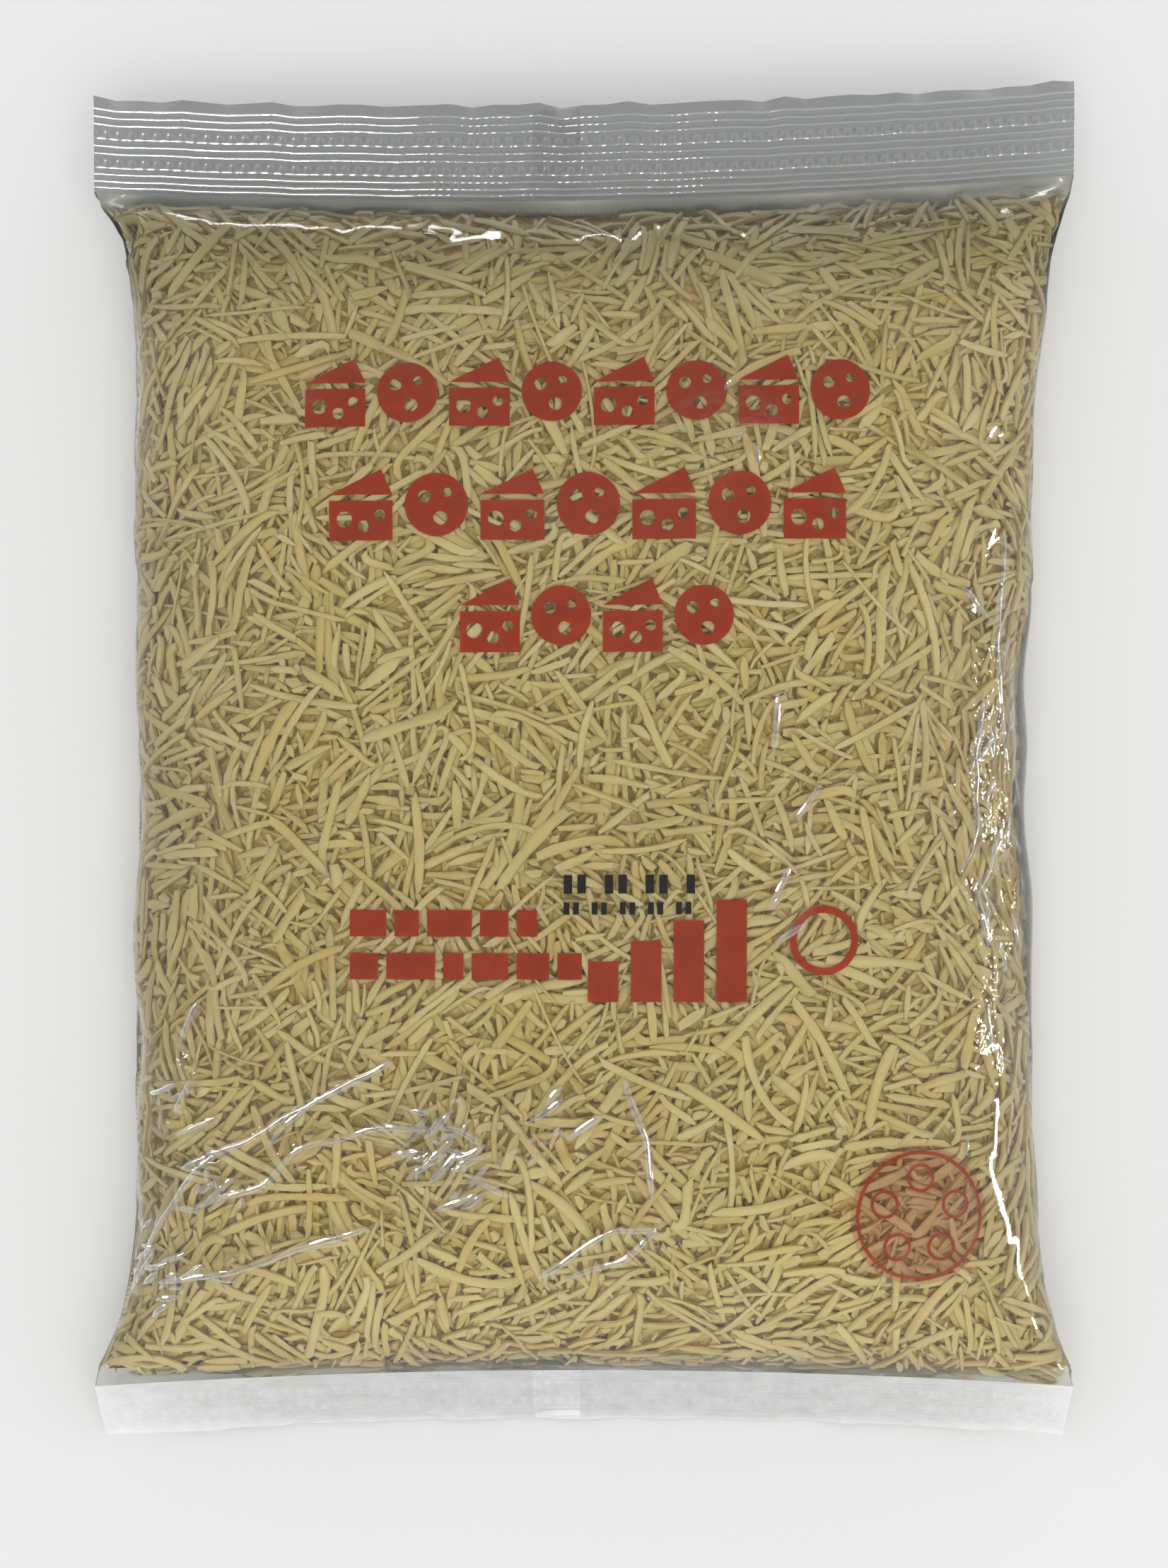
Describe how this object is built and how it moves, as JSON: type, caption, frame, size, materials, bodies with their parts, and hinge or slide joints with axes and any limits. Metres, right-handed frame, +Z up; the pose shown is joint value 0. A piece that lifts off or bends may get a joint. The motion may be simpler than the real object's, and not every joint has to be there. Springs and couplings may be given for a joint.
{
  "type": "bag of grated cheese",
  "caption": "Sealed clear pillow bag lying flat, filled with loose grated cheese shreds, with a folded back fin and ribbed crimp seals at both ends.",
  "frame": {"origin": "on the surface the bag lies on, under the middle of its outline", "axes": "+X across the bag, +Y along the bag towards its top seal, +Z up, out of the bag's front"},
  "size_m": [0.25, 0.346, 0.042],
  "materials": {
    "clear_film": "clear gloss packing film",
    "crimped_film": "clear gloss film, ribbed and slightly hazy where it is welded",
    "cheese": "pale yellow pressed cheese, cut into shreds, soft satin"
  },
  "bodies": {
    "root": {"film_tube": "clear_film", "back_fin_seal": "crimped_film", "top_crimp_seal": "crimped_film", "bottom_crimp_seal": "crimped_film", "shred_bed": "cheese", "shred_01": "cheese", "shred_02": "cheese", "shred_03": "cheese", "shred_04": "cheese", "shred_05": "cheese", "shred_06": "cheese", "shred_07": "cheese", "shred_08": "cheese", "shred_09": "cheese", "shred_10": "cheese", "shred_11": "cheese", "shred_12": "cheese", "shred_13": "cheese", "shred_14": "cheese", "shred_15": "cheese", "shred_16": "cheese", "shred_17": "cheese", "shred_18": "cheese", "shred_19": "cheese", "shred_20": "cheese", "shred_21": "cheese", "shred_22": "cheese", "shred_23": "cheese", "shred_24": "cheese", "shred_25": "cheese", "shred_26": "cheese", "shred_27": "cheese", "shred_28": "cheese", "shred_29": "cheese", "shred_30": "cheese", "shred_31": "cheese", "shred_32": "cheese", "shred_33": "cheese", "shred_34": "cheese", "shred_35": "cheese", "shred_36": "cheese", "shred_37": "cheese", "shred_38": "cheese", "shred_39": "cheese", "shred_40": "cheese", "shred_41": "cheese", "shred_42": "cheese", "shred_43": "cheese", "shred_44": "cheese", "shred_45": "cheese", "shred_46": "cheese", "shred_47": "cheese", "shred_48": "cheese"}
  },
  "joints": []
}
